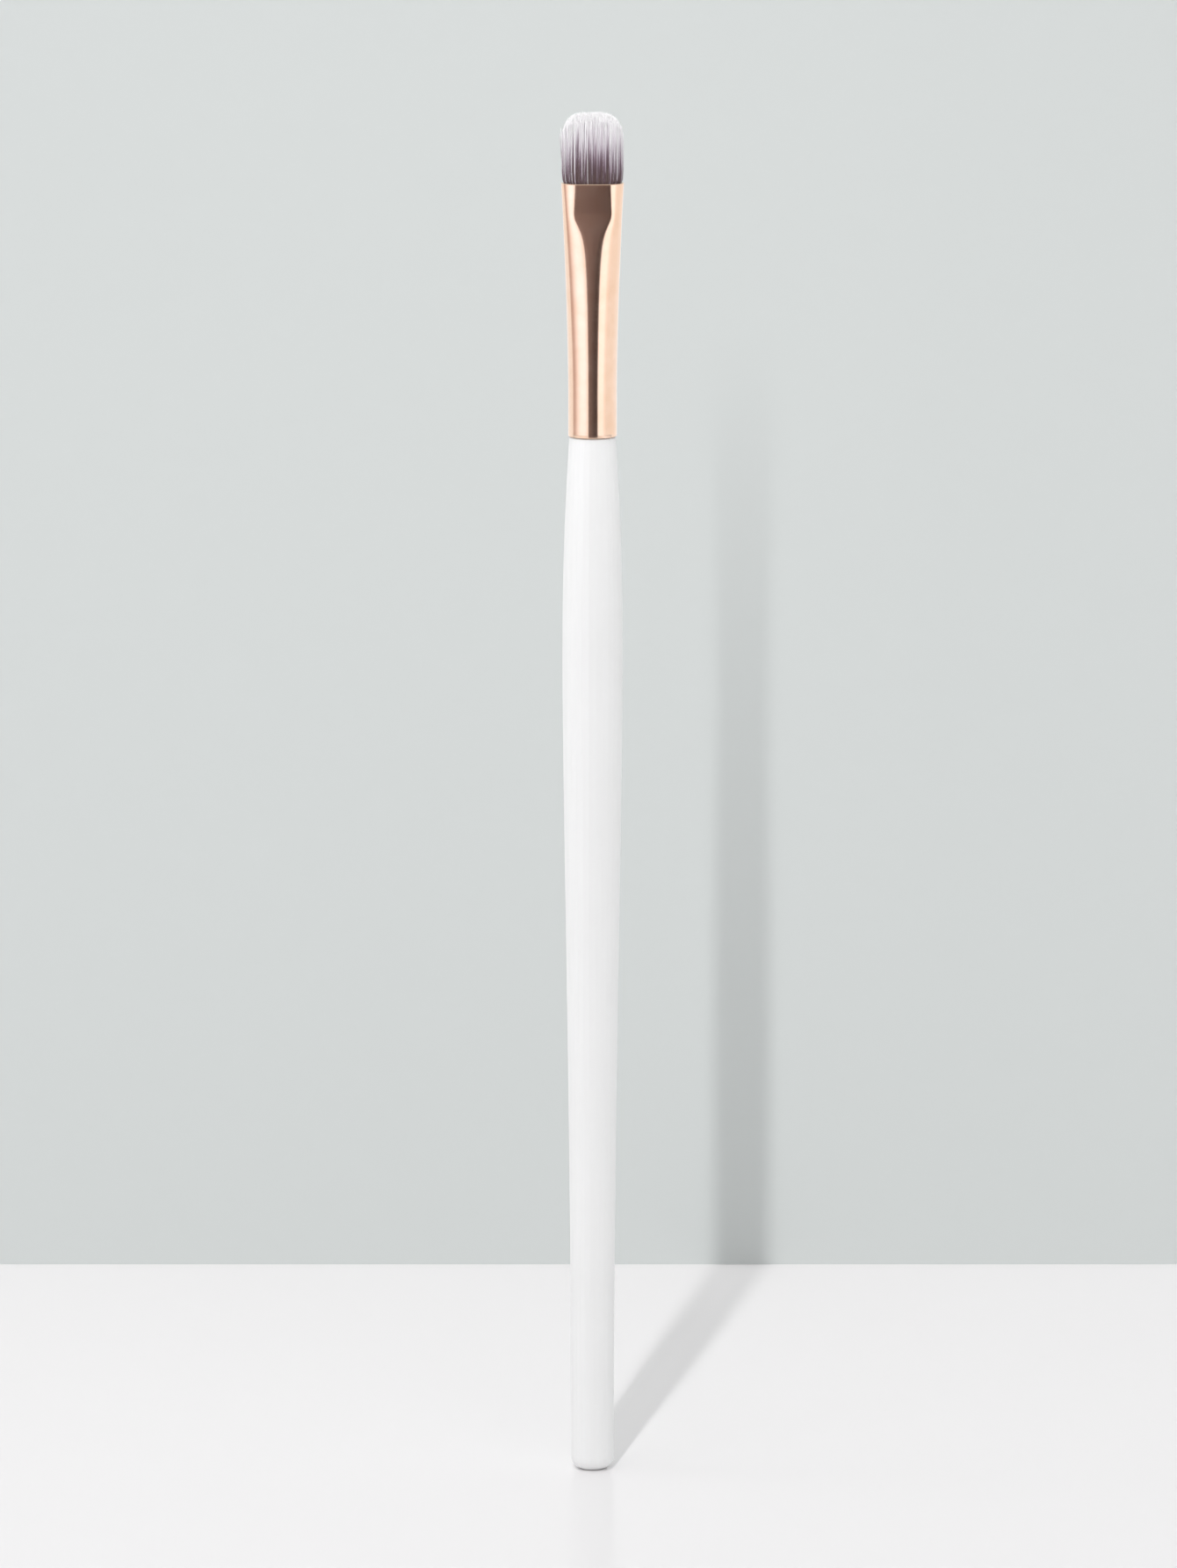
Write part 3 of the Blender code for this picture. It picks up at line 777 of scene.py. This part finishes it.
KEY_AZIMUTH = -9.7
KEY_DISTANCE = 2.4
KEY_TILT = math.radians(62)
KEY_LOWEST = math.radians(23)
KEY_HIGHEST = math.radians(66)
KEY_WIDTH = 0.045
KEY_GLOW = 107.0
key_along = [KEY_DISTANCE * math.tan(turn - KEY_TILT) for turn in (KEY_LOWEST, KEY_HIGHEST)]
key_middle = sum(key_along) / 2
key_out = KEY_DISTANCE * math.cos(KEY_TILT) - key_middle * math.sin(KEY_TILT)
key_height = KEY_DISTANCE * math.sin(KEY_TILT) + key_middle * math.cos(KEY_TILT)
key_aim = around(KEY_AZIMUTH, key_out - math.cos(KEY_TILT), key_height - math.sin(KEY_TILT))
key_length = key_along[1] - key_along[0]
key_place = around(KEY_AZIMUTH, key_out, key_height)
add_softbox("key_strip", key_place, key_aim, KEY_WIDTH, key_length, KEY_GLOW)

world = bpy.data.worlds.new("studio_air")
bpy.context.scene.world = world
world.use_nodes = True
tree = world.node_tree
tree.nodes.clear()
rays = add_node(tree, "ShaderNodeLightPath", {}, {})
seen = add_node(
    tree,
    "ShaderNodeMath",
    {"operation": "ADD"},
    {0: rays.outputs["Is Camera Ray"], 1: rays.outputs["Is Glossy Ray"]},
)
shown = add_node(
    tree,
    "ShaderNodeMath",
    {"operation": "ADD", "use_clamp": True},
    {0: seen.outputs[0], 1: rays.outputs["Is Transmission Ray"]},
)
air = add_node(tree, "ShaderNodeBackground", {}, {"Color": (1, 1, 1, 1), "Strength": AIR_LEVEL})
backdrop = add_node(tree, "ShaderNodeBackground", {}, {"Color": linear(BACKDROP_COLOUR), "Strength": 1.0})
either = add_node(
    tree,
    "ShaderNodeMixShader",
    {},
    {0: shown.outputs[0], 1: air.outputs["Background"], 2: backdrop.outputs["Background"]},
)
add_node(tree, "ShaderNodeOutputWorld", {}, {"Surface": either.outputs["Shader"]})


def start_glowing_card(name):
    """A card's material with nothing on its surface yet, and its node tree."""
    made, tree, shader = start_material(name)
    tree.nodes.remove(shader)
    return made, tree


def light_card(card, finish, colour, glow):
    """Gives a card its glow. The camera and soft surfaces don't meet it: only shine shows it."""
    tree = finish.node_tree
    light = add_node(tree, "ShaderNodeEmission", {}, {"Color": colour, "Strength": glow})
    tree.links.new(light.outputs["Emission"], tree.nodes["Material Output"].inputs["Surface"])
    card.data.materials.append(finish)
    card.visible_camera = False
    card.visible_diffuse = False
    card.visible_shadow = False
    card.visible_transmission = False
    card.visible_volume_scatter = False


# The ring's cards run round from behind by the left. Each has its azimuth and its red, green and blue glow.
RING_RADIUS = 0.45
RING_FOOT = 0.05
RING_TOP = 0.30
RING_SIDES = 72
RING_GLOW = 1.4
RING_CARDS = (
    (-150, (0.75, 0.75, 0.75)),
    (-116, (0.75, 0.75, 0.75)),
    (-106, (0.62, 0.58, 0.60)),
    (-99, (0.44, 0.36, 0.35)),
    (-90, (0.44, 0.36, 0.35)),
    (-80, (0.66, 0.60, 0.62)),
    (-72, (0.76, 0.76, 0.80)),
    (-62, (0.92, 0.92, 1.00)),
    (-52, (1.00, 1.00, 1.12)),
    (-34, (1.00, 1.00, 1.12)),
    (-24, (0.82, 0.80, 0.84)),
    (22, (0.84, 0.84, 0.88)),
    (31, (0.96, 0.96, 1.00)),
    (48, (0.96, 0.96, 1.00)),
    (58, (0.78, 0.76, 0.76)),
    (67, (0.71, 0.70, 0.70)),
    (110, (0.71, 0.70, 0.68)),
    (150, (0.75, 0.75, 0.75)),
)
bpy.ops.mesh.primitive_cylinder_add(
    vertices=RING_SIDES, radius=RING_RADIUS, depth=RING_TOP - RING_FOOT, end_fill_type="NOTHING"
)
ring = bpy.context.object
ring.name = "ring_of_cards"
ring.location.z = (RING_FOOT + RING_TOP) / 2
bpy.ops.object.transform_apply(location=True, rotation=True, scale=True)
ring_finish, tree = start_glowing_card("ring_of_cards")
place = add_node(tree, "ShaderNodeTexCoord", {}, {}).outputs["Object"]
ring_place = add_node(tree, "ShaderNodeSeparateXYZ", {}, {"Vector": place})
to_front = add_node(tree, "ShaderNodeMath", {"operation": "MULTIPLY"}, {0: ring_place.outputs["Y"], 1: -1.0})
ring_azimuth = add_node(
    tree, "ShaderNodeMath", {"operation": "ARCTAN2"}, {0: ring_place.outputs["X"], 1: to_front.outputs[0]}
)
ring_share = add_node(
    tree,
    "ShaderNodeMapRange",
    {},
    {"Value": ring_azimuth.outputs[0], "From Min": -math.pi, "From Max": math.pi},
)
ring_ramp = add_node(tree, "ShaderNodeValToRGB", {}, {"Fac": ring_share.outputs["Result"]})
stops = ring_ramp.color_ramp.elements
stops.remove(stops[1])
stops[0].position = (RING_CARDS[0][0] + 180) / 360
stops[0].color = (*RING_CARDS[0][1], 1.0)
for azimuth, glow in RING_CARDS[1:]:
    stops.new((azimuth + 180) / 360).color = (*glow, 1.0)
light_card(ring, ring_finish, ring_ramp.outputs["Color"], RING_GLOW)

CARD_WHITE = (1, 1, 1, 1)
BACK_CARD_DISTANCE = 0.105
BACK_CARD_NEAR_TURN = math.radians(14)
BACK_CARD_FAR_TURN = math.radians(75)
BACK_CARD_FOOT = 0.05
BACK_CARD_TOP = 0.20
BACK_CARD_GLOW = 1.0
for side in (-1, 1):
    near_edge = side * BACK_CARD_DISTANCE * math.tan(BACK_CARD_NEAR_TURN)
    far_edge = side * BACK_CARD_DISTANCE * math.tan(BACK_CARD_FAR_TURN)
    back_card = add_upright_plane(
        "back_card", near_edge, far_edge, BACK_CARD_DISTANCE, BACK_CARD_FOOT, BACK_CARD_TOP
    )
    back_finish, tree = start_glowing_card("back_card")
    light_card(back_card, back_finish, CARD_WHITE, BACK_CARD_GLOW)

LOW_CARD_REACH = 0.30
LOW_CARD_FOOT = 0.1 * MM
LOW_CARD_TOP = 70 * MM
LOW_CARD_GLOW = 1.0
low_distance = WALL_DISTANCE - LOW_CARD_FOOT
low_card = add_upright_plane(
    "low_back_card", -LOW_CARD_REACH, LOW_CARD_REACH, low_distance, LOW_CARD_FOOT, LOW_CARD_TOP
)
low_finish, tree = start_glowing_card("low_back_card")
light_card(low_card, low_finish, CARD_WHITE, LOW_CARD_GLOW)

CARD_DISTANCE = 0.40
CARD_LEFT_TURN = math.radians(19.5)
CARD_RIGHT_TURN = math.radians(24)
CARD_FOOT = 0.001
CARD_HEIGHT = 0.34
CARD_COLOUR = "#FFE8EA"
CARD_LEFT = 0.18
CARD_RIGHT = 0.065
CARD_FADE = 0.09
CARD_RISE = 1.5
CARD_RISE_HEIGHTS = (0.10, 0.15)
left_edge = -CARD_DISTANCE * math.tan(CARD_LEFT_TURN)
right_edge = CARD_DISTANCE * math.tan(CARD_RIGHT_TURN)
card = add_upright_plane("dark_front_card", left_edge, right_edge, -CARD_DISTANCE, CARD_FOOT, CARD_HEIGHT)
card_finish, tree = start_glowing_card("dark_card")
place = add_node(tree, "ShaderNodeTexCoord", {}, {}).outputs["Object"]
card_place = add_node(tree, "ShaderNodeSeparateXYZ", {}, {"Vector": place})
card_across = add_node(
    tree,
    "ShaderNodeMapRange",
    {},
    {
        "Value": card_place.outputs["X"],
        "From Min": -CARD_FADE,
        "From Max": CARD_FADE,
        "To Min": CARD_LEFT,
        "To Max": CARD_RIGHT,
    },
)
card_up = add_node(
    tree,
    "ShaderNodeMapRange",
    {},
    {
        "Value": card_place.outputs["Z"],
        "From Min": CARD_RISE_HEIGHTS[0],
        "From Max": CARD_RISE_HEIGHTS[1],
        "To Min": 1.0,
        "To Max": CARD_RISE,
    },
)
card_glow = add_node(
    tree,
    "ShaderNodeMath",
    {"operation": "MULTIPLY"},
    {0: card_across.outputs["Result"], 1: card_up.outputs["Result"]},
)
light_card(card, card_finish, linear(CARD_COLOUR), card_glow.outputs["Value"])

# Camera
# Level with the photograph: a little above the brush and straight in front, with a long lens. It is aimed
# so that the tip, the foot and the axis fall on the photograph's rows and column.

PHOTO_WIDTH = 1340
PHOTO_HEIGHT = 1785
TIP_ROW = 126.0
FOOT_ROW = 1670.5
AXIS_COLUMN = 674.5
SENSOR = 36.0
CAMERA_DISTANCE = 1.5
CAMERA_HEIGHT = 0.358

tip_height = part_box("bristle_tuft")[1].z
tip_fall = math.atan((CAMERA_HEIGHT - tip_height) / CAMERA_DISTANCE)
foot_fall = math.atan(CAMERA_HEIGHT / CAMERA_DISTANCE)
rows_up = PHOTO_HEIGHT / 2 - TIP_ROW
rows_down = FOOT_ROW - PHOTO_HEIGHT / 2
tilt = blended(tip_fall, foot_fall, rows_up / (rows_up + rows_down))
focal_rows = (rows_up + rows_down) / (math.tan(tilt - tip_fall) + math.tan(foot_fall - tilt))
columns_per_metre = focal_rows / math.hypot(CAMERA_DISTANCE, CAMERA_HEIGHT)
camera_x = (PHOTO_WIDTH / 2 - AXIS_COLUMN) / columns_per_metre

camera_data = bpy.data.cameras.new("photo_camera")
camera_data.lens = focal_rows / PHOTO_HEIGHT * SENSOR
camera_data.sensor_width = SENSOR
camera = bpy.data.objects.new("photo_camera", camera_data)
camera.location = (camera_x, -CAMERA_DISTANCE, CAMERA_HEIGHT)
camera.rotation_euler = (math.pi / 2 - tilt, 0, 0)
bpy.context.scene.collection.objects.link(camera)
bpy.context.scene.camera = camera
bpy.context.scene.view_settings.view_transform = "Standard"

# Sizes
# Only the view layer is brought up to date here.

bpy.context.view_layer.update()
